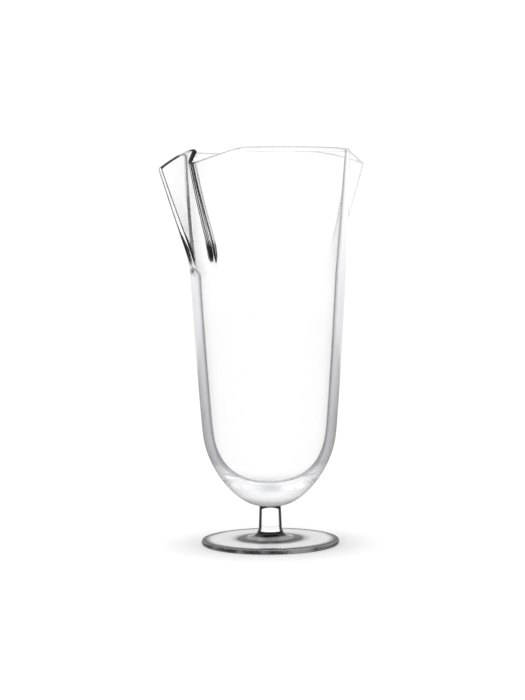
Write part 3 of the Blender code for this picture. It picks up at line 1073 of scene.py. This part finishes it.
# The ramp paints the rings' shade and shadow over the distance from the axis.
rings = add_node(tree, "ShaderNodeValToRGB", Fac=add_math(tree, "ADD", across, uneven))
stops = rings.color_ramp.elements
stops.remove(stops[-1])
for index, (distance, passed) in enumerate(FOOT_PAINTED_SHADE_RINGS):
    stop = stops[0] if index == 0 else stops.new(distance)
    stop.position = distance
    stop.color = squared((passed, passed, passed))
painted_ring_color = add_mix(tree, add_ramp(tree, height, *UPPER_FACE), WHITE, rings.outputs["Color"])
print("Foot of", len(FOOT_PAINTED_SHADE_RINGS), "rings")

# %% [markdown]
# The edge of the foot gets a narrow brim of painted shade with a few painted highlights, where the rounded
# glass catches the backdrop. The highlights come from a noise and show only where the brim faces the eye. As
# on the stem, only what the camera sees straight gets this painted shade.

# %% Material of the foot: the brim
BRIM_START = (0.950, 0.970)
BRIM_TOP = (0.0030, 0.0024)
PATCH_SCALE = 70.0
PATCH_LIMITS = (0.45, 0.65)
FACING_SLANTS = (0.35, 0.65)
# Painted shade of the brim and the colour of its painted highlights.
BRIM_PAINTED_SHADE = (0.001, 0.001, 0.0012, 1.0)
BRIM_PAINTED_HIGHLIGHT = (0.06, 0.06, 0.065, 1.0)

painted_brim_mask = add_math(tree, "MULTIPLY", add_ramp(tree, across, *BRIM_START), add_ramp(tree, height, *BRIM_TOP))
highlight_patches = add_node(tree, "ShaderNodeTexNoise", Vector=place, Scale=PATCH_SCALE, Detail=1.0)
facing = add_ramp(tree, add_slant(tree), *FACING_SLANTS, 1.0, 0.0)
painted_highlight = add_math(tree, "MULTIPLY", add_ramp(tree, highlight_patches.outputs["Fac"], *PATCH_LIMITS), facing)
painted_brim_color = add_mix(tree, painted_highlight, BRIM_PAINTED_SHADE, BRIM_PAINTED_HIGHLIGHT)
foot_color = add_mix(tree, painted_brim_mask, painted_ring_color, painted_brim_color)
path = add_path(tree)
link_color(tree, shader, add_mix(tree, path["Is Camera Ray"], WHITE, foot_color), path)
print("Material foot_glass of", len(tree.nodes), "nodes")

# %% [markdown]
# ## Giving the glasses to the pieces
#
# The faces of the weld between the stem and the foot get a second, see-through material, because inside a
# weld there is no surface that could bend or mirror light. Every other face keeps the glass of its piece.

# %% Materials on the pieces
CLOSE = 0.00001


def is_weld(mesh, face):
    """Tell whether a face lies in the weld between the stem and the foot."""
    points = [mesh.vertices[index].co for index in face.vertices]
    level = all(abs(point.z - FOOT_HEIGHT) < CLOSE for point in points)
    return level and all(point.xy.length < FOOT_SEAT_RADIUS + CLOSE for point in points)


for node, material in (("foot", foot_glass), ("stem", stem_glass), ("bowl", bowl_glass)):
    mesh = glass_pieces[node].data
    mesh.materials.append(material)
    mesh.materials.append(weld_glass)
    for face in mesh.polygons:
        face.material_index = 1 if is_weld(mesh, face) else 0
    print(node, "has", sum(face.material_index for face in mesh.polygons), "welded faces")

# %% [markdown]
# ## The pale floor
#
# The glass stands on a plain white table that runs on without an edge. Close to the foot the floor is an
# ordinary pale surface, so it keeps the soft shadow of the glass. Further out, and in all that is seen
# through the glass, it is plain white, so that no horizon shows. That white is a trace over 1, to make up for
# what the glass mirrors away. Mirrored light meets a darker table, like a card laid down beside the glass.

# %% The floor
FLOOR_REST = -0.0001
FLOOR_SIZE = 8.0

shape = bmesh.new()
bmesh.ops.create_circle(shape, cap_ends=True, cap_tris=True, segments=96, radius=FLOOR_SIZE)
floor_mesh = bpy.data.meshes.new("floor")
shape.to_mesh(floor_mesh)
shape.free()
floor = new_object("floor", floor_mesh)
floor.location.z = FLOOR_REST
print("Floor", 2 * FLOOR_SIZE, "m across")

# %% Paint of the floor
FLOOR_COLOR = (0.96, 0.96, 0.96, 1.0)
FLOOR_ROUGHNESS = 0.9
FADE_REACH = (0.03, 0.08)
TABLE_CARD = 0.38
CARD_REACH = (1.0, 1.3)
SEEN_WHITE = 1.05

floor_paint, tree, shader = new_material("floor_paint")
shader.inputs["Base Color"].default_value = FLOOR_COLOR
shader.inputs["Roughness"].default_value = FLOOR_ROUGHNESS
shader.inputs["Specular IOR Level"].default_value = 0.0
distance = add_length(tree, tree.nodes.new("ShaderNodeTexCoord").outputs["Object"])
path = add_path(tree)
far = add_ramp(tree, distance, *FADE_REACH, smooth=True)
seen = add_math(tree, "MULTIPLY", far, path["Is Camera Ray"])
seen = add_math(tree, "MAXIMUM", seen, path["Is Glossy Ray"], path["Is Transmission Ray"])
table_light = add_ramp(tree, distance, *CARD_REACH, TABLE_CARD, 1.0)
card = add_ramp(tree, add_mirrored(tree, path), 0.0, 1.0, SEEN_WHITE, table_light)
glow = add_node(tree, "ShaderNodeEmission", Strength=card)
plain = add_node(tree, "ShaderNodeMixShader", Fac=seen)
tree.links.new(shader.outputs["BSDF"], plain.inputs[1])
tree.links.new(glow.outputs["Emission"], plain.inputs[2])
tree.links.new(plain.outputs["Shader"], tree.nodes["Material Output"].inputs["Surface"])
floor_mesh.materials.append(floor_paint)
print("Material floor_paint of", len(tree.nodes), "nodes")

# %% [markdown]
# ## Soft studio light
#
# A glass photographed on white stands in a tent of light, so the world itself is the main lamp. What the
# camera and the glass see of it is plain white, and for the rest of the scene it is a soft light from all
# round. Mirrored light meets a band of grey above the horizon instead, like a card held up to the glass, so
# that reflections don't wash out the dark lines.

# %% The world
SOFT_LIGHT = 0.95
BACK_CARD = 0.42
CARD_LOWER_EDGE = (0.02, 0.05)
CARD_UPPER_EDGE = (0.50, 0.80)

world = bpy.data.worlds.new("studio")
scene.world = world
world.use_nodes = True
tree = world.node_tree
background = tree.nodes["Background"]
background.inputs["Color"].default_value = WHITE
path = add_path(tree)
seen = [path[name] for name in ("Is Camera Ray", "Is Glossy Ray", "Is Transmission Ray")]
strength = add_ramp(tree, add_math(tree, "MAXIMUM", *seen), 0.0, 1.0, SOFT_LIGHT, SEEN_WHITE)
toward = tree.nodes.new("ShaderNodeTexCoord").outputs["Generated"]
rise = add_node(tree, "ShaderNodeSeparateXYZ", Vector=toward).outputs["Z"]
lower_edge = add_ramp(tree, rise, *CARD_LOWER_EDGE)
upper_edge = add_ramp(tree, rise, *CARD_UPPER_EDGE, 1.0, 0.0)
on_card = add_math(tree, "MULTIPLY", lower_edge, upper_edge, add_mirrored(tree, path))
card = add_ramp(tree, on_card, 0.0, 1.0, 1.0, BACK_CARD)
tree.links.new(add_math(tree, "MULTIPLY", strength, card), background.inputs["Strength"])
print("World of", len(tree.nodes), "nodes")

# %% [markdown]
# A large soft lamp above gives the light a direction. Thick glass passes light on many times between its
# surfaces, so the number of bounces is raised, or else dark patches would stay where the light was given up.

# %% Lamp and bounces
LAMP_WIDTH, LAMP_DEPTH = 1.2, 0.8
LAMP_WATTS = 1.0
LAMP_PLACE = Vector((-0.5, -0.3, 1.4))
MOST_BOUNCES = 128

lamp_data = bpy.data.lights.new("softbox", "AREA")
lamp_data.shape = "RECTANGLE"
lamp_data.size = LAMP_WIDTH
lamp_data.size_y = LAMP_DEPTH
lamp_data.energy = LAMP_WATTS
lamp = new_object("softbox", lamp_data)
lamp.location = LAMP_PLACE
lamp.rotation_euler = LAMP_PLACE.to_track_quat("Z", "Y").to_euler()

scene.cycles.max_bounces = MOST_BOUNCES
scene.cycles.glossy_bounces = MOST_BOUNCES
scene.cycles.transmission_bounces = MOST_BOUNCES
scene.cycles.transparent_max_bounces = MOST_BOUNCES
print("Softbox of", LAMP_WATTS, "W and", MOST_BOUNCES, "bounces")
